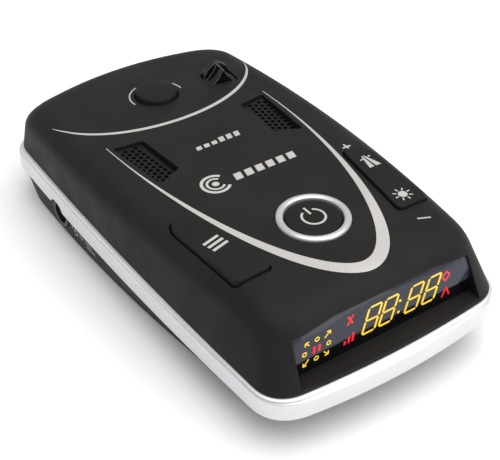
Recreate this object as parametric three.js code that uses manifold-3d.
// Dashboard radar detector: two-part black case with a silver trim band, slanted display mouth
// at the driver's end, keys on top, horn antenna and bracket socket at the windscreen end.
// Millimetres. +Z up, +Y toward the windscreen, +X to the driver's right.
// The origin is under the middle of the case.
import * as THREE from 'three';
import { mergeVertices } from 'three/addons/utils/BufferGeometryUtils.js';
import Module from 'manifold-3d';

const wasm = await Module();
wasm.setup();

// Overall sizes
const caseLength = 130.4;
const caseWidth = 69.8;
const caseTop = 31.8;
const seamHeight = 15.7;
const bandHeight = 5.9;
const wall = 1.9;
const floorThick = 2.0;

// Fits
const gap = 0.3;
const slide = 0.35;
const pinFit = 0.25;

// Top surface: one long and one cross radius
const crownAlong = 1280;
const crownAcross = 850;
const crownPeakFromNear = 22.8;
const shoulderHeight = 5.2;

// Trim band ledges outside the upper shell
const sideLedge = 1.15;
const nearLedge = 1.8;
const farLedge = 1.5;
const bandFaceHeight = 4.3;
const tubInset = 0.9;
const rimWall = 1.5;

// Display at the near end
const mouthWidth = 49;
const mouthFlat = 28.8;
const mouthSill = 0.7;
const mouthHeight = 12.4;
const mouthSideDrop = 2.3;
const mouthArch = 0.4;
const mouthFlare = 0.9;
const lensSetback = 5.4;
const lensThick = 1.5;
const bezelThick = 1.2;
const bezelDepth = 6.6;
const ledPanelThick = 2.4;
const ledBoardThick = 1.2;
const ledPanelSide = 1.4;
const ledBoardSide = 0.8;
const headerWidth = 18;
const headerHeight = 2.7;
const headerReach = 1.2;

// Power key and its ring
const powerFromNear = 33.5;
const ringOuter = 8.74;
const ringInner = 6.95;
const ringRise = 0.8;
const ringFlange = 1.1;
const ringFoot = 1.2;
const powerTravel = 0.5;

// Menu key (left) and rocker (right) share one mirrored outline
const keyNear = 24.6;
const keyLength = 26.2;
const menuFromEdge = 6.1;
const rockerFromEdge = 6.9;
const keyInnerFar = 12.9;
const keyInnerNear = 17.1;
const keyOuterSweep = 1.5;
const keyRise = 0.8;
const keySkin = 1.6;
const keyFlange = 0.8;
const keyCorner = 1.6;
const keyFarCut = 3;
const keyFarStep = 1.4;
const menuTravel = 0.5;
const rockerTilt = 2.2;
const rockerPinRadius = 0.8;
const rockerStemReach = 9.2;
const rockerAxisDepth = 4.4;
const rockerEarThick = 1.6;
const rockerEarReach = 2;
const rockerLug = 3;
const rockerBoss = 1.9;

// Tact switches under the keys
const switchSide = 6;
const switchBody = 3.4;
const switchRise = 5.1;
const plungerRadius = 1.7;
const switchFree = 0.12;
const stemRadius = 1.6;

// Grilles
const grilleFromFar = 44.5;
const grilleLength = 19.9;
const grilleWidth = 6.4;
const grilleInnerX = 14.3;
const grilleShear = 1.7;
const grilleSkew = 3;
const grilleFarStep = 0.8;
const grilleFarCut = 1.2;
const grilleCorner = 0.7;
const grilleDepth = 1.2;
const grilleThick = 1.2;
const grilleRows = 4;
const grilleColumns = 10;
const grilleHole = 0.49;
const grilleRim = 0.55;

// Bracket release and bracket socket
const releaseFromFar = 27.9;
const releaseRadius = 5.56;
const releaseRise = 1.7;
const releaseTravel = 1.5;
const releaseFlange = 1.1;
const releaseFlangeReach = 1.2;
const releaseStem = 1.6;
const slotWidth = 25;
const slotHeight = 4.5;
const slotFloor = 17.3;
const socketWall = 1.1;
const socketEndFromFar = 7.6;
const toothWidth = 6;
const toothRise = 1.3;
const latchThick = 1.5;
const springWire = 0.6;
const springRadius = 2.7;
const springTurns = 4;
const springWell = 3.6;
const wellFloor = 1;

// Laser eyes
const eyeX = 18.75;
const eyeFromFar = 29.5;
const eyeWidth = 8;
const eyeDepth = 6.4;
const eyeRise = 4.9;
const eyeTurn = -7;
const frontLensX = 20;
const frontLensWidth = 9;
const frontLensBase = 2.4;
const frontLensHeight = 4.6;

// Horn antenna
const hornWidth = 34;
const hornHeight = 10.2;
const hornThroatRatio = 0.36;
const hornLength = 28;
const hornFromFar = 10;
const hornSheet = 1;
const guideLength = 10;
const shieldWidth = 22;
const shieldLength = 15;
const shieldHeight = 4.4;
const receiverWidth = 6;
const receiverDepth = 4;
const receiverHeight = 4.2;
const receiverEye = 1.7;

// Power inlet on the left wall
const jackFromFar = 32.7;
const jackHeight = 7.4;
const jackNose = 3.9;
const jackBore = 2.9;
const jackPin = 0.9;
const jackBodyLength = 11;
const jackRecess = 1.3;
const jackBodyFromSide = 4.6;
const jackBodyHalfWide = 4.4;
const jackBodyHalfHigh = 4.1;

// Boards, screws and label
const boardThick = 1.6;
const boardTop = 19.2;
const boardInset = 7.4;
const boardFromNear = 22.4;
const boardFromFar = 42.4;
const boardArmFromFar = 19;
const nearPostX = 15;
const nearPostFromNear = 18.7;
const farPostFromSide = 10.4;
const farPostFromFar = 14.2;
const boardPostX = 10;
const boardPostFromNear = 26;
const boardPostFromSide = 9.9;
const boardPostFarRow = 61;
const screwShank = 1.1;
const screwHead = 2.6;
const screwHeadHeight = 1.9;
const screwSink = 0.7;
const postRadius = 3;
const boardScrewShank = 0.9;
const boardScrewHead = 1.8;
const boardScrewHeadHeight = 1.3;
const screwGrip = 7.8;
const boardScrewGrip = 6.4;
const labelWidth = 38;
const labelLength = 25;
const labelThick = 0.4;

// Places that follow from the overall sizes
const nearY = -caseLength / 2;
const farY = caseLength / 2;
const halfWidth = caseWidth / 2;
const bandTop = seamHeight - gap;
const bandBottom = bandTop - bandHeight;
const tubTop = bandBottom - gap;
const lensY = nearY + nearLedge + lensSetback;
const panelHeight = mouthHeight - mouthSideDrop - 3 * gap;
const powerY = nearY + powerFromNear;
const releaseY = farY - releaseFromFar;
const eyeY = farY - eyeFromFar;
const socketEnd = farY - socketEndFromFar;
const slotBack = releaseY + springWell + socketWall;
const boardBottom = boardTop - boardThick;
const switchTop = boardTop + gap + switchRise;
const keyMidY = nearY + keyNear + keyLength / 2;
const jackY = farY - jackFromFar;
const casePosts = [
  [-nearPostX, nearY + nearPostFromNear],
  [nearPostX, nearY + nearPostFromNear],
  [-(halfWidth - farPostFromSide), farY - farPostFromFar],
  [halfWidth - farPostFromSide, farY - farPostFromFar],
];
const boardPosts = [
  [-boardPostX, nearY + boardPostFromNear],
  [boardPostX, nearY + boardPostFromNear],
  [-(halfWidth - boardPostFromSide), nearY + boardPostFarRow],
  [halfWidth - boardPostFromSide, nearY + boardPostFarRow],
];

// Plan outlines: half widths near, middle and far, with bowed ends and round corners
const bandPlan = {
  near: nearY, far: farY, halfNear: halfWidth - 1.7, halfMid: halfWidth, halfFar: halfWidth - 1,
  nearBow: 1.7, farBow: 3.2, nearCorner: 9, farCorner: 9,
};
const seamPlan = {
  near: nearY + nearLedge, far: farY - farLedge, halfNear: halfWidth - sideLedge - 1.2,
  halfMid: halfWidth - sideLedge, halfFar: halfWidth - sideLedge - 1, nearBow: 1.2, farBow: 3.2,
  nearCorner: 7.6, farCorner: 8.2,
};
const shoulderPlan = {
  near: nearY + 6.1, far: farY - 3.8, halfNear: halfWidth - 5.2, halfMid: halfWidth - 1.5,
  halfFar: halfWidth - 2.5, nearBow: 1.4, farBow: 3.1, nearCorner: 8, farCorner: 8,
};
const crownPlan = {
  near: nearY + 13.9, far: farY - 10.2, halfNear: halfWidth - 11.4, halfMid: halfWidth - 7,
  halfFar: halfWidth - 8.8, nearBow: 1.2, farBow: 2.9, nearCorner: 8, farCorner: 8.4,
};
const basePlan = {
  near: nearY + 11.2, far: farY - 3.2, halfNear: halfWidth - 7, halfMid: halfWidth - 2.6,
  halfFar: halfWidth - 2.6, nearBow: 2, farBow: 3.2, nearCorner: 9, farCorner: 10,
};

function topZ(x, y) {
  const along = y - nearY - crownPeakFromNear;
  return caseTop - (along * along) / (2 * crownAlong) - (x * x) / (2 * crownAcross);
}

// Solids

function solid(geometry) {
  const bare = geometry.index ? geometry.toNonIndexed() : geometry.clone();
  for (const name of Object.keys(bare.attributes)) {
    if (name !== 'position') bare.deleteAttribute(name);
  }
  const merged = mergeVertices(bare, 1e-4);
  return new wasm.Manifold(new wasm.Mesh({
    numProp: 3,
    vertProperties: Float32Array.from(merged.attributes.position.array),
    triVerts: Uint32Array.from(merged.index.array),
  }));
}

function toGeometry(body) {
  const result = body.getMesh();
  const geometry = new THREE.BufferGeometry();
  const places = [];
  for (let i = 0; i < result.vertProperties.length; i += result.numProp) {
    places.push(result.vertProperties[i], result.vertProperties[i + 1], result.vertProperties[i + 2]);
  }
  geometry.setAttribute('position', new THREE.Float32BufferAttribute(places, 3));
  geometry.setIndex(Array.from(result.triVerts));
  geometry.computeVertexNormals();
  return geometry;
}

function box(x0, x1, y0, y1, z0, z1) {
  const geometry = new THREE.BoxGeometry(x1 - x0, y1 - y0, z1 - z0);
  geometry.translate((x0 + x1) / 2, (y0 + y1) / 2, (z0 + z1) / 2);
  return solid(geometry);
}

// Round bar along z, or along another axis when one is named
function rod(x, y, z, length, radius, axis = 'z', sides = 20) {
  const geometry = new THREE.CylinderGeometry(radius, radius, length, sides);
  if (axis === 'z') geometry.rotateX(Math.PI / 2);
  if (axis === 'x') geometry.rotateZ(Math.PI / 2);
  geometry.translate(x, y, z);
  return solid(geometry);
}

function upright(x, y, z0, z1, radius, sides = 20) {
  return rod(x, y, (z0 + z1) / 2, z1 - z0, radius, 'z', sides);
}

function extruded(shape, depth) {
  return new THREE.ExtrudeGeometry(shape, { depth, bevelEnabled: false, curveSegments: 5 });
}

// Plan shape pulled up from z0 to z1
function prism(shape, z0, z1) {
  const geometry = extruded(shape, z1 - z0);
  geometry.translate(0, 0, z0);
  return solid(geometry);
}

// Front-view shape (x, z) pulled along y
function slab(shape, y0, y1) {
  const geometry = extruded(shape, y1 - y0);
  geometry.rotateX(Math.PI / 2);
  geometry.translate(0, y1, 0);
  return solid(geometry);
}

// Turned body about a vertical axis from a closed profile of [radius, z] pairs
function turned(x, y, profile, sides = 36) {
  const points = profile.map(([radius, z]) => new THREE.Vector2(radius, z));
  const geometry = new THREE.LatheGeometry(points, sides);
  geometry.rotateX(Math.PI / 2);
  geometry.translate(x, y, 0);
  return solid(geometry);
}

function polygon(points) {
  return new THREE.Shape(points.map(([x, y]) => new THREE.Vector2(x, y)));
}

function roundedPolygon(points, radius) {
  const corners = points.map(([x, y]) => new THREE.Vector2(x, y));
  const shape = new THREE.Shape();
  corners.forEach((corner, i) => {
    const before = corners[(i + corners.length - 1) % corners.length];
    const after = corners[(i + 1) % corners.length];
    const start = corner.clone().add(before.clone().sub(corner).setLength(radius));
    const end = corner.clone().add(after.clone().sub(corner).setLength(radius));
    if (i === 0) shape.moveTo(start.x, start.y);
    else shape.lineTo(start.x, start.y);
    shape.quadraticCurveTo(corner.x, corner.y, end.x, end.y);
  });
  shape.closePath();
  return shape;
}

// Skin through rings of equal point count, closed by a fan at both ends
function loft(rings) {
  const count = rings[0].length;
  const places = rings.flat();
  const total = (ring) => ring.reduce((sum, p) => sum.add(p), new THREE.Vector3());
  const centre = (ring) => total(ring).divideScalar(count);
  const first = places.length;
  places.push(centre(rings[0]), centre(rings[rings.length - 1]));
  const faces = [];
  for (let j = 0; j < count; j += 1) {
    const k = (j + 1) % count;
    for (let i = 0; i + 1 < rings.length; i += 1) {
      const a = i * count;
      const b = a + count;
      faces.push(a + j, a + k, b + k, a + j, b + k, b + j);
    }
    const last = (rings.length - 1) * count;
    faces.push(first, k, j, first + 1, last + j, last + k);
  }
  const geometry = new THREE.BufferGeometry();
  geometry.setAttribute('position', new THREE.Float32BufferAttribute(places.flatMap((p) => p.toArray()), 3));
  geometry.setIndex(faces);
  return solid(geometry);
}

// Case outlines

function addCorner(shape, end, along, start, away, radius) {
  const reach = 0.58 * radius;
  shape.bezierCurveTo(
    end.x + along.x * reach, end.y + along.y * reach,
    start.x - away.x * reach, start.y - away.y * reach, start.x, start.y,
  );
}

function planShape(plan, inset) {
  const near = plan.near + inset;
  const far = plan.far - inset;
  const rn = Math.max(plan.nearCorner - 0.6 * inset, 1.5);
  const rf = Math.max(plan.farCorner - 0.6 * inset, 1.5);
  const hn = plan.halfNear - inset;
  const hf = plan.halfFar - inset;
  const control = 2 * (plan.halfMid - inset) - (hn + hf) / 2;
  const nearEnd = new THREE.Vector2(hn - rn, near + plan.nearBow);
  const nearSide = new THREE.Vector2(hn, near + plan.nearBow + rn);
  const farSide = new THREE.Vector2(hf, far - plan.farBow - rf);
  const farEnd = new THREE.Vector2(hf - rf, far - plan.farBow);
  const middle = new THREE.Vector2(control, (nearSide.y + farSide.y) / 2);
  const nearDir = new THREE.Vector2(nearEnd.x, 2 * plan.nearBow).normalize();
  const upDir = middle.clone().sub(nearSide).normalize();
  const inDir = farSide.clone().sub(middle).normalize();
  const farDir = new THREE.Vector2(-farEnd.x, 2 * plan.farBow).normalize();
  const flip = (v) => new THREE.Vector2(-v.x, v.y);
  const back = (v) => new THREE.Vector2(v.x, -v.y);
  const shape = new THREE.Shape();
  shape.moveTo(-nearEnd.x, nearEnd.y);
  shape.quadraticCurveTo(0, near - plan.nearBow, nearEnd.x, nearEnd.y);
  addCorner(shape, nearEnd, nearDir, nearSide, upDir, rn);
  shape.quadraticCurveTo(middle.x, middle.y, farSide.x, farSide.y);
  addCorner(shape, farSide, inDir, farEnd, farDir, rf);
  shape.quadraticCurveTo(0, far + plan.farBow, -farEnd.x, farEnd.y);
  addCorner(shape, flip(farEnd), back(farDir), flip(farSide), back(inDir), rf);
  shape.quadraticCurveTo(-middle.x, middle.y, -nearSide.x, nearSide.y);
  addCorner(shape, flip(nearSide), back(upDir), flip(nearEnd), back(nearDir), rn);
  return shape;
}

function planRing(plan, inset, height) {
  const points = planShape(plan, inset).getPoints(5);
  if (points[0].distanceTo(points[points.length - 1]) < 1e-6) points.pop();
  return points.map((p) => new THREE.Vector3(p.x, p.y, typeof height === 'function' ? height(p) : height));
}

// Outside of the upper case, or the same form `inset` further in
function upperHull(inset = 0, foot = seamHeight) {
  const crown = planRing(crownPlan, inset, (p) => topZ(p.x, p.y) - inset);
  const shoulder = planRing(shoulderPlan, inset, 0);
  shoulder.forEach((p, i) => { p.z = crown[i].z - shoulderHeight; });
  const rings = [planRing(seamPlan, inset, foot)];
  for (const degrees of [0, 30, 60]) {
    const turn = THREE.MathUtils.degToRad(degrees);
    rings.push(shoulder.map((p, i) => new THREE.Vector3(
      THREE.MathUtils.lerp(p.x, crown[i].x, 1 - Math.cos(turn)),
      THREE.MathUtils.lerp(p.y, crown[i].y, 1 - Math.cos(turn)),
      THREE.MathUtils.lerp(p.z, crown[i].z, Math.sin(turn)),
    )));
  }
  for (const share of [1, 0.5]) {
    rings.push(crown.map((p) => new THREE.Vector3(
      p.x * share, p.y * share, topZ(p.x * share, p.y * share) - inset,
    )));
  }
  return loft(rings);
}

// Layer of the top skin between two depths below the outside
function topLayer(rise, depth) {
  const upper = upperHull().translate([0, 0, rise]);
  const lower = upperHull().translate([0, 0, -depth]);
  return upper.subtract(lower);
}

// Shared feature outlines

function mouthShape(grow) {
  const half = mouthWidth / 2 + grow;
  const flat = mouthFlat / 2;
  const base = seamHeight + mouthSill - grow;
  const top = seamHeight + mouthSill + mouthHeight + grow;
  const shape = new THREE.Shape();
  shape.moveTo(-half - mouthFlare, base);
  shape.lineTo(half + mouthFlare, base);
  shape.lineTo(half, top - mouthSideDrop);
  shape.lineTo(flat, top - mouthArch);
  shape.quadraticCurveTo(0, top + mouthArch, -flat, top - mouthArch);
  shape.lineTo(-half, top - mouthSideDrop);
  shape.closePath();
  return shape;
}

function keyShape(side, grow) {
  const outer = halfWidth - (side < 0 ? menuFromEdge : rockerFromEdge);
  const y0 = nearY + keyNear - grow;
  const y1 = nearY + keyNear + keyLength + grow;
  const points = [
    [halfWidth - keyInnerNear - grow, y0],
    [outer - keyOuterSweep + grow, y0],
    [outer + grow, y1 - keyFarCut],
    [outer - keyFarStep + grow, y1],
    [halfWidth - keyInnerFar - grow, y1],
  ];
  const placed = points.map(([x, y]) => [side * x, y]);
  return roundedPolygon(side > 0 ? placed : placed.reverse(), Math.min(keyCorner, keyLength / 8));
}

function grilleShape(side, grow) {
  const near = farY - grilleFromFar - grilleLength - grow;
  const far = farY - grilleFromFar + grow;
  const points = [
    [grilleInnerX - grow, near + grilleSkew],
    [grilleInnerX + grilleWidth + grow, near],
    [grilleInnerX + grilleWidth + grilleShear + grow, far],
    [grilleInnerX + grilleFarStep - grow, far - grilleFarCut],
  ];
  const placed = points.map(([x, y]) => [side * x, y]);
  return roundedPolygon(side > 0 ? placed : placed.reverse(), grilleCorner);
}

function eyeBlock(grow, z0, z1) {
  const geometry = new THREE.BoxGeometry(eyeWidth + 2 * grow, eyeDepth + 2 * grow, z1 - z0);
  geometry.rotateZ(THREE.MathUtils.degToRad(eyeTurn));
  geometry.translate(eyeX, eyeY, (z0 + z1) / 2);
  return solid(geometry);
}

function frontLensBox(grow) {
  const base = seamHeight + frontLensBase;
  return box(
    frontLensX - frontLensWidth / 2 - grow, frontLensX + frontLensWidth / 2 + grow,
    farY - 14, farY + 4, base - grow, base + frontLensHeight + grow,
  );
}

// Room that the bracket's tongue slides into, out to `end`
function slotSpace(end) {
  return box(-slotWidth / 2, slotWidth / 2, slotBack, end, slotFloor, slotFloor + slotHeight);
}

function jackRod(radius, from, to) {
  return rod((from + to) / 2, jackY, jackHeight, to - from, radius, 'x', 24);
}

// Case

function upperShell() {
  let body = upperHull().subtract(upperHull(wall, seamHeight - 1));
  const inside = upperHull(wall - 0.2);
  for (const [x, y] of casePosts) {
    body = body.add(upright(x, y, seamHeight + 0.5, caseTop, postRadius).intersect(inside));
  }
  for (const x of rockerEarCentres()) {
    const ear = box(x - rockerEarThick / 2, x + rockerEarThick / 2, keyMidY - rockerEarReach,
      keyMidY + rockerEarReach, rockerAxisZ() - rockerEarReach, caseTop);
    body = body.add(ear.intersect(inside));
  }
  const [inner, outer] = rockerEarCentres();
  const pinHole = outer - inner + rockerEarThick + 2 * gap;
  const pinBore = rockerPinRadius + pinFit;
  body = body.subtract(rod((inner + outer) / 2, keyMidY, rockerAxisZ(), pinHole, pinBore, 'x', 12));
  for (const [x, y] of casePosts) {
    body = body.subtract(upright(x, y, seamHeight, seamHeight + screwGrip + 0.8, screwShank + pinFit, 12));
  }
  body = body.subtract(slab(mouthShape(0), nearY - 1, lensY + lensThick + gap));
  body = body.subtract(upright(0, powerY, seamHeight + 6, caseTop + 3, ringOuter + 0.2, 40));
  body = body.subtract(upright(0, releaseY, seamHeight + 6, caseTop + 3, releaseRadius + slide, 32));
  body = body.subtract(prism(keyShape(-1, slide), seamHeight + 7, caseTop + 3));
  body = body.subtract(prism(keyShape(1, slide), seamHeight + 7, caseTop + 3));
  body = body.subtract(prism(grilleShape(-1, gap), seamHeight + 7, caseTop + 3));
  body = body.subtract(prism(grilleShape(1, gap), seamHeight + 7, caseTop + 3));
  body = body.subtract(eyeBlock(gap, seamHeight + 7, caseTop + 3));
  body = body.subtract(frontLensBox(gap));
  return body.subtract(slotSpace(farY + 2));
}

function trimBand() {
  const faceTop = bandBottom + bandFaceHeight;
  const outside = loft([
    planRing(bandPlan, 0.35, bandBottom),
    planRing(bandPlan, 0, bandBottom + 0.4),
    planRing(bandPlan, 0, faceTop),
    planRing(bandPlan, 0.4, faceTop + 0.7),
    planRing(seamPlan, -0.25, bandTop),
  ]);
  const inside = loft([
    planRing(seamPlan, wall + gap, bandBottom - 1),
    planRing(seamPlan, wall + gap, bandTop + 1),
  ]);
  return outside.subtract(inside).subtract(jackRod(jackNose + gap, -halfWidth - 2, -halfWidth + 8));
}

function lowerShell() {
  const rim = wall + 2 * gap;
  const shell = loft([
    planRing(basePlan, 1.6, 0),
    planRing(basePlan, 0.5, 0.5),
    planRing(basePlan, 0, 2),
    planRing(bandPlan, tubInset, tubTop),
  ]);
  const rimRing = loft([planRing(seamPlan, rim, tubTop - 1), planRing(seamPlan, rim, bandTop - 0.6)]);
  const hollow = loft([
    planRing(basePlan, wall + 1.2, floorThick),
    planRing(basePlan, wall, floorThick + 2),
    planRing(seamPlan, rim + rimWall, tubTop - 1),
    planRing(seamPlan, rim + rimWall, seamHeight + 1),
  ]);
  let body = shell.add(rimRing).subtract(hollow);
  const floorBlock = loft([planRing(basePlan, 1.6, 0), planRing(basePlan, 1.6, seamHeight)]);
  for (const [x, y] of casePosts) {
    const footTop = floorThick + screwHeadHeight + 1.2;
    body = body.add(upright(x, y, 0.2, seamHeight + 0.2, postRadius).intersect(floorBlock));
    body = body.add(upright(x, y, 0.2, footTop, postRadius + 1.4).intersect(floorBlock));
  }
  for (const [x, y] of boardPosts) {
    body = body.add(upright(x, y, 1, boardBottom - gap, boardScrewHead + 0.3, 16));
    const boreFoot = boardBottom - boardScrewGrip - 0.6;
    body = body.subtract(upright(x, y, boreFoot, boardBottom + 1, boardScrewShank + pinFit, 10));
  }
  for (const [x, y] of casePosts) {
    body = body.subtract(upright(x, y, -1, screwSink + screwHeadHeight + gap, screwHead + gap));
    body = body.subtract(upright(x, y, 1, seamHeight + 1, screwShank + pinFit, 12));
  }
  body = body.subtract(box(
    -labelWidth / 2 - gap, labelWidth / 2 + gap, -labelLength / 2 - gap, labelLength / 2 + gap,
    -1, labelThick + 0.2 + gap,
  ));
  body = body.subtract(jackRod(jackNose + gap, -halfWidth - 2, -halfWidth + 8));
  const jack = jackBodyBounds();
  body = body.subtract(box(
    jack.x0 - gap, jack.x1 + gap, jack.y0 - gap, jack.y1 + gap, jack.z0 - gap, jack.z1 + gap,
  ));
  return body;
}

// Display

function displayBezel() {
  const ring = slab(mouthShape(bezelThick), nearY, lensY + bezelDepth)
    .subtract(slab(mouthShape(0), nearY - 1, lensY + bezelDepth + 1));
  return ring.intersect(upperHull(wall + gap, seamHeight - 1));
}

function displayLens() {
  return slab(mouthShape(-gap), lensY, lensY + lensThick).intersect(upperHull(gap, seamHeight - 1));
}

function ledPanel() {
  const front = lensY + lensThick + gap;
  const base = seamHeight + mouthSill + 2 * gap;
  const half = mouthWidth / 2 - ledPanelSide;
  return box(-half, half, front, front + ledPanelThick, base, base + panelHeight)
    .intersect(upperHull(wall + 2 * gap, seamHeight - 1));
}

function ledBoard() {
  const front = lensY + lensThick + ledPanelThick + 2 * gap;
  const base = seamHeight + mouthSill + 2 * gap;
  const half = mouthWidth / 2 - ledBoardSide;
  return box(-half, half, front, front + ledBoardThick, base, base + panelHeight)
    .intersect(upperHull(wall + 2 * gap, seamHeight - 1));
}

function displayHeader() {
  const back = lensY + lensThick + ledPanelThick + ledBoardThick + 3 * gap;
  const base = boardTop + gap;
  return box(-headerWidth / 2, headerWidth / 2, back, back + headerReach + 3, base, base + headerHeight);
}

// Keys

// Middle of a key across its width, measured at mid length
function keyCentreX() {
  return halfWidth - (rockerFromEdge + keyOuterSweep / 2 + (keyInnerFar + keyInnerNear) / 2) / 2;
}

function rockerAxisZ() {
  return topZ(keyCentreX(), keyMidY) - rockerAxisDepth;
}

function rockerEarCentres() {
  const reach = ((keyInnerFar + keyInnerNear) / 2 - rockerFromEdge - keyOuterSweep / 2) / 2 + keyFlange + 1.4;
  return [keyCentreX() - reach, keyCentreX() + reach];
}

// Cap that stands through the top skin, with a wider flange that stays `free` below it
function keyCap(side, free) {
  const depth = wall + free;
  const cap = prism(keyShape(side, 0), seamHeight, caseTop + 3).intersect(topLayer(keyRise, depth + 0.4));
  const flange = prism(keyShape(side, keyFlange), seamHeight, caseTop + 3)
    .intersect(topLayer(-depth, depth + keySkin)).intersect(upperHull(depth, seamHeight - 1));
  return cap.add(flange);
}

function menuKey() {
  const x = -keyCentreX();
  const stemFoot = switchTop + menuTravel + switchFree;
  const stem = upright(x, keyMidY, stemFoot, topZ(x, keyMidY) - wall - 1, stemRadius, 16);
  return keyCap(-1, gap).add(stem);
}

function rockerStemX(y) {
  return keyCentreX() + ((y - keyMidY) / keyLength) * keyOuterSweep;
}

function rockerKey() {
  const x = keyCentreX();
  const drop = rockerStemReach * Math.sin(THREE.MathUtils.degToRad(rockerTilt));
  const swing = (keyLength / 2 + keyFlange) * Math.sin(THREE.MathUtils.degToRad(rockerTilt));
  let body = keyCap(1, gap + swing);
  for (const end of [-1, 1]) {
    const y = keyMidY + end * rockerStemReach;
    const stemFoot = switchTop + drop + 0.1 + switchFree;
    body = body.add(upright(rockerStemX(y), y, stemFoot, topZ(x, y) - wall - 1, stemRadius - 0.2, 16));
  }
  const lug = box(x - rockerLug, x + rockerLug, keyMidY - rockerBoss, keyMidY + rockerBoss,
    rockerAxisZ() - rockerBoss, topZ(x, keyMidY) - wall - 1);
  body = body.add(lug);
  return body.subtract(rod(x, keyMidY, rockerAxisZ(), 20, rockerPinRadius + pinFit, 'x', 12));
}

function rockerPin() {
  const [inner, outer] = rockerEarCentres();
  const length = outer - inner + rockerEarThick;
  return rod((inner + outer) / 2, keyMidY, rockerAxisZ(), length, rockerPinRadius, 'x', 12);
}

function powerRing() {
  const top = topZ(0, powerY);
  const skirt = top - wall - gap;
  return turned(0, powerY, [
    [ringInner, skirt - ringFoot], [ringOuter + ringFlange, skirt - ringFoot],
    [ringOuter + ringFlange, skirt], [ringOuter, skirt], [ringOuter, top + 0.1],
    [ringOuter - 0.35, top + ringRise * 0.75],
    [(ringOuter + ringInner) / 2, top + ringRise], [ringInner + 0.3, top + ringRise * 0.7],
    [ringInner, top], [ringInner, skirt - ringFoot],
  ]);
}

function powerButton() {
  const top = topZ(0, powerY);
  const radius = ringInner - slide;
  const under = top - wall - gap - ringFoot - gap;
  return turned(0, powerY, [
    [0, switchTop + powerTravel + switchFree], [stemRadius, switchTop + powerTravel + switchFree],
    [stemRadius, under - 1.2], [radius + 1, under - 1.2], [radius + 1, under],
    [radius, under], [radius, top], [radius - 0.4, top + 0.3], [0, top + 0.45],
  ]);
}

// The flange clears the skin at its far edge, where the top is lowest
function releaseFlangeTop() {
  return topZ(0, releaseY + releaseRadius + releaseFlangeReach) - wall - gap;
}

function releaseButton() {
  const top = topZ(0, releaseY) + releaseRise;
  const flangeTop = releaseFlangeTop();
  return turned(0, releaseY, [
    [0, latchTop() + gap], [releaseStem, latchTop() + gap], [releaseStem, flangeTop - releaseFlange],
    [releaseRadius + releaseFlangeReach, flangeTop - releaseFlange],
    [releaseRadius + releaseFlangeReach, flangeTop],
    [releaseRadius, flangeTop], [releaseRadius, top - 0.6], [releaseRadius - 0.5, top - 0.1], [0, top],
  ]);
}

function tactSwitch(x, y) {
  const half = switchSide / 2;
  const base = boardTop + gap;
  return box(x - half, x + half, y - half, y + half, base, base + switchBody)
    .add(upright(x, y, base + 1, base + switchRise, plungerRadius, 16));
}

// Bracket socket

function latchTop() {
  return slotFloor - socketWall - gap;
}

function bracketSocket() {
  const half = slotWidth / 2 + socketWall;
  const back = releaseY - springWell - socketWall;
  const lower = slotFloor - socketWall;
  const upper = slotFloor + slotHeight + socketWall;
  let body = box(-half, half, back, socketEnd, lower, upper);
  body = body.subtract(slotSpace(socketEnd + 2));
  body = body.subtract(upright(0, releaseY, slotFloor + wellFloor, upper + 2, springWell, 24));
  body = body.subtract(upright(0, releaseY, lower - 1, upper, releaseStem + slide, 16));
  const tooth = toothWidth / 2 + slide;
  body = body.subtract(box(-tooth, tooth, slotBack - 0.1, slotBack + 3.2, lower - 1, slotFloor + 0.5));
  return body.intersect(upperHull(wall + gap, seamHeight - 6));
}

function releaseLatch() {
  const top = latchTop();
  const plate = box(-toothWidth / 2, toothWidth / 2, releaseY - 3, slotBack + 2.8, top - latchThick, top);
  const profile = polygon([[slotBack + 0.3, top - 0.4], [slotBack + 2.8, top - 0.4],
    [slotBack + 2.8, slotFloor + 0.4], [slotBack + 0.3, slotFloor + toothRise]]);
  const geometry = new THREE.ExtrudeGeometry(profile, { depth: toothWidth - 0.4, bevelEnabled: false });
  geometry.rotateX(Math.PI / 2);
  geometry.rotateZ(Math.PI / 2);
  geometry.translate(-toothWidth / 2 + 0.2, 0, 0);
  return plate.add(solid(geometry));
}

function releaseSpring() {
  const floor = slotFloor + wellFloor + gap + springWire / 2;
  const height = releaseFlangeTop() - releaseFlange - gap - springWire / 2 - floor;
  const turns = [];
  const steps = springTurns * 12;
  for (let i = 0; i <= steps; i += 1) {
    const turn = (i / steps) * springTurns * 2 * Math.PI;
    turns.push(new THREE.Vector3(
      springRadius * Math.cos(turn), releaseY + springRadius * Math.sin(turn), floor + (height * i) / steps,
    ));
  }
  const wire = new THREE.Shape().absarc(0, 0, springWire / 2, 0, 2 * Math.PI);
  const path = new THREE.CatmullRomCurve3(turns);
  return solid(new THREE.ExtrudeGeometry(wire, {
    steps, extrudePath: path, bevelEnabled: false, curveSegments: 3,
  }));
}

// Sensors

function rearLaserLens() {
  const surface = topZ(eyeX, eyeY);
  const half = eyeWidth / 2;
  // Gable sections: a steep narrow one facing the driver, a full one behind it
  const gable = (shoulder, shoulderZ, ridge, ridgeZ) => [
    [-half, 0], [half, 0], [shoulder, shoulderZ], [ridge, ridgeZ], [-ridge, ridgeZ], [-shoulder, shoulderZ],
  ];
  const front = gable(half * 0.55, 1.9, 0.25, eyeRise * 0.8);
  const back = gable(half * 0.8, 2.6, 0.9, eyeRise);
  const ring = (points, y) => points.map(([x, z]) => new THREE.Vector3(x, y, z)).reverse();
  const tent = loft([ring(front, -eyeDepth / 2 + 0.2), ring(back, eyeDepth / 2 - 1.6), ring(back.map(
    ([x, z]) => [x, z * 0.7]), eyeDepth / 2)]);
  const placed = tent.rotate([0, 0, eyeTurn]).translate([eyeX, eyeY, surface - 0.7]);
  return placed.add(eyeBlock(0, boardTop + receiverHeight + 2 * gap, surface - 0.6));
}

function frontLaserLens() {
  const skin = upperHull(0.1).subtract(upperHull(wall - 0.1, seamHeight - 1));
  return skin.intersect(frontLensBox(0));
}

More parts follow.
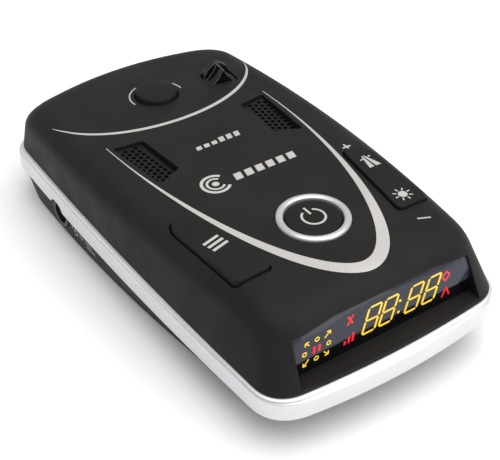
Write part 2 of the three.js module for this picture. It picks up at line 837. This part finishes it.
function laserReceiver(x, y, facing) {
  const base = boardTop + gap;
  const halfX = receiverWidth / 2;
  const halfY = receiverDepth / 2;
  const body = box(x - halfX, x + halfX, y - halfY, y + halfY, base, base + receiverHeight);
  return body.add(rod(x, y + facing * halfY, base + receiverHeight / 2, 1.6, receiverEye, 'y', 16));
}

function hornAntenna() {
  const centreZ = floorThick + gap + hornHeight / 2;
  const mouthY = farY - hornFromFar;
  const throatY = mouthY - hornLength;
  const flare = (width, height) => {
    const corner = Math.SQRT1_2;
    const geometry = new THREE.CylinderGeometry(corner, corner * hornThroatRatio, hornLength, 4, 1);
    geometry.rotateY(Math.PI / 4);
    geometry.scale(width, 1, height);
    geometry.translate(0, throatY + hornLength / 2, centreZ);
    return solid(geometry);
  };
  const throatWide = hornWidth * hornThroatRatio;
  const throatHigh = hornHeight * hornThroatRatio;
  const guide = box(-throatWide / 2, throatWide / 2, throatY - guideLength, throatY + 0.5,
    centreZ - throatHigh / 2, centreZ + throatHigh / 2);
  const bore = box(-throatWide / 2 + hornSheet, throatWide / 2 - hornSheet, throatY - guideLength + hornSheet,
    throatY + 1, centreZ - throatHigh / 2 + hornSheet, centreZ + throatHigh / 2 - hornSheet);
  const hollow = flare(hornWidth - 2 * hornSheet, hornHeight - 2 * hornSheet).translate([0, 0.05, 0]);
  return flare(hornWidth, hornHeight).add(guide).subtract(bore).subtract(hollow);
}

// Sound, power and boards

const speakerX = -(grilleInnerX + grilleWidth / 2 + 0.8);
const speakerY = farY - grilleFromFar - grilleLength / 2;

function speakerFrame() {
  const base = boardTop + 2 * gap + 2;
  return turned(speakerX, speakerY, [
    [4.4, base], [6, base], [8.8, base + 2.4], [8.8, base + 3.4], [7.8, base + 3.4],
    [5.2, base + 0.9], [4.4, base],
  ], 28);
}

function speakerCone() {
  const base = boardTop + 2 * gap + 2;
  return turned(speakerX, speakerY, [
    [0, base + 1.9], [2.2, base + 1.3], [5, base + 1.3], [7.2, base + 3.4], [6.6, base + 3.5],
    [4.4, base + 1.9], [2.2, base + 2.4], [0, base + 2.8],
  ], 28);
}

function speakerMagnet() {
  return upright(speakerX, speakerY, boardTop + gap, boardTop + gap + 2, 5.4, 24);
}

function grille(side) {
  const x = side * (grilleInnerX + grilleWidth / 2);
  const y = farY - grilleFromFar - grilleLength / 2;
  const top = topZ(x, y) - grilleDepth;
  let plate = prism(grilleShape(side, 0), top - grilleThick, top);
  const pitchX = (grilleWidth - 0.6) / grilleRows;
  const pitchY = (grilleLength - 2.6) / grilleColumns;
  const inside = prism(grilleShape(side, -grilleRim), top - grilleThick - 1, top + 1);
  for (let row = 0; row < grilleRows; row += 1) {
    for (let column = 0; column < grilleColumns; column += 1) {
      const share = (column + 0.5 + (row % 2) * 0.5) / grilleColumns;
      const hx = side * (grilleInnerX + 0.7 + pitchX * (row + 0.5) + share * grilleShear);
      const hy = y - grilleLength / 2 + 1.6 + pitchY * (column + 0.5 + (row % 2) * 0.5);
      const diamond = polygon([
        [hx - grilleHole, hy], [hx, hy - grilleHole], [hx + grilleHole, hy], [hx, hy + grilleHole],
      ]);
      const hole = prism(diamond, top - grilleThick - 0.5, top + 0.5);
      if (hole.subtract(inside).volume() < 1e-6) plate = plate.subtract(hole);
    }
  }
  return plate;
}

function jackBodyBounds() {
  const x0 = -halfWidth + jackBodyFromSide;
  return {
    x0, x1: x0 + jackBodyLength, y0: jackY - jackBodyHalfWide, y1: jackY + jackBodyHalfWide,
    z0: jackHeight - jackBodyHalfHigh, z1: jackHeight + jackBodyHalfHigh,
  };
}

function dcJack() {
  const b = jackBodyBounds();
  const mouth = -halfWidth + jackRecess;
  let body = box(b.x0, b.x1, b.y0, b.y1, b.z0, b.z1).add(jackRod(jackNose, mouth, b.x0 + 1));
  body = body.subtract(jackRod(jackBore, mouth - 2, b.x1 - 2.5));
  return body.add(jackRod(jackPin, mouth + 1.5, b.x1 - 2));
}

function mainBoard() {
  const half = halfWidth - boardInset;
  const near = nearY + boardFromNear;
  const far = farY - boardFromFar;
  const armFar = farY - boardArmFromFar;
  const armX = slotWidth / 2 + socketWall + 2 * gap;
  const outline = polygon([
    [-half, near], [half, near], [half, armFar], [armX, armFar], [armX, far], [-half, far],
  ]);
  let body = prism(outline, boardBottom, boardTop);
  for (const [x, y] of boardPosts) {
    body = body.subtract(upright(x, y, boardBottom - 1, boardTop + 1, boardScrewShank + pinFit, 12));
  }
  return body;
}

function radioShield() {
  const far = farY - hornFromFar - hornLength - guideLength - 1;
  const top = boardBottom - gap;
  return box(-shieldWidth / 2, shieldWidth / 2, far - shieldLength, far, top - shieldHeight, top);
}

function chip(x, y, side, height) {
  return box(x - side / 2, x + side / 2, y - side / 2, y + side / 2, boardTop + gap, boardTop + gap + height);
}

function caseScrew(x, y) {
  const base = screwSink;
  return upright(x, y, base, base + screwHeadHeight, screwHead, 20)
    .add(upright(x, y, base + 1, seamHeight + screwGrip, screwShank, 10));
}

function boardScrew(x, y) {
  const base = boardTop + gap;
  return upright(x, y, base, base + boardScrewHeadHeight, boardScrewHead, 16)
    .add(upright(x, y, boardBottom - boardScrewGrip, boardTop + 1, boardScrewShank, 10));
}

function ratingLabel() {
  return box(-labelWidth / 2, labelWidth / 2, -labelLength / 2, labelLength / 2, 0.2, 0.2 + labelThick);
}

// Assembly

const looks = {
  shell: { color: 0x322f2d, roughness: 0.55, metalness: 0 },
  silver: { color: 0xd6d6d8, roughness: 0.3, metalness: 0.6 },
  key: { color: 0x353331, roughness: 0.5, metalness: 0 },
  smoked: { color: 0x14161a, roughness: 0.08, metalness: 0 },
  board: { color: 0x1d5c37, roughness: 0.5, metalness: 0 },
  part: { color: 0x1b1b1d, roughness: 0.5, metalness: 0 },
  steel: { color: 0xb9bbbf, roughness: 0.3, metalness: 1 },
  paper: { color: 0xd9d9d6, roughness: 0.7, metalness: 0 },
};

const detector = new THREE.Group();

function place(name, body, look) {
  const mesh = new THREE.Mesh(toGeometry(body), new THREE.MeshStandardMaterial(looks[look]));
  mesh.name = name;
  detector.add(mesh);
}

place('upper_shell', upperShell(), 'shell');
place('trim_band', trimBand(), 'silver');
place('lower_shell', lowerShell(), 'shell');
place('display_bezel', displayBezel(), 'shell');
place('display_lens', displayLens(), 'smoked');
place('display_panel', ledPanel(), 'part');
place('display_board', ledBoard(), 'board');
place('display_header', displayHeader(), 'part');
place('power_ring', powerRing(), 'silver');
place('power_button', powerButton(), 'key');
place('menu_key', menuKey(), 'key');
place('rocker_key', rockerKey(), 'key');
place('rocker_pin', rockerPin(), 'steel');
place('release_button', releaseButton(), 'key');
place('release_latch', releaseLatch(), 'part');
place('release_spring', releaseSpring(), 'steel');
place('bracket_socket', bracketSocket(), 'part');
place('grille_left', grille(-1), 'part');
place('grille_right', grille(1), 'part');
place('speaker_frame', speakerFrame(), 'steel');
place('speaker_cone', speakerCone(), 'part');
place('speaker_magnet', speakerMagnet(), 'steel');
place('rear_laser_lens', rearLaserLens(), 'smoked');
place('front_laser_lens', frontLaserLens(), 'smoked');
place('rear_laser_receiver', laserReceiver(eyeX, eyeY - 2, -1), 'part');
place('front_laser_receiver', laserReceiver(frontLensX, farY - 21.6, 1), 'part');
place('horn_antenna', hornAntenna(), 'steel');
place('radio_shield', radioShield(), 'steel');
place('main_board', mainBoard(), 'board');
place('main_chip', chip(2, nearY + 52, 10, 1.2), 'part');
place('compass_sensor', chip(14, nearY + 66, 5, 1.1), 'part');
place('dc_jack', dcJack(), 'part');
place('power_switch', tactSwitch(0, powerY), 'part');
place('menu_switch', tactSwitch(-keyCentreX(), keyMidY), 'part');
for (const [name, end] of [['volume_down_switch', -1], ['volume_up_switch', 1]]) {
  const y = keyMidY + end * rockerStemReach;
  place(name, tactSwitch(rockerStemX(y), y), 'part');
}
casePosts.forEach(([x, y], i) => place(`case_screw_${i + 1}`, caseScrew(x, y), 'steel'));
boardPosts.forEach(([x, y], i) => place(`board_screw_${i + 1}`, boardScrew(x, y), 'steel'));
place('rating_label', ratingLabel(), 'paper');

export default detector;
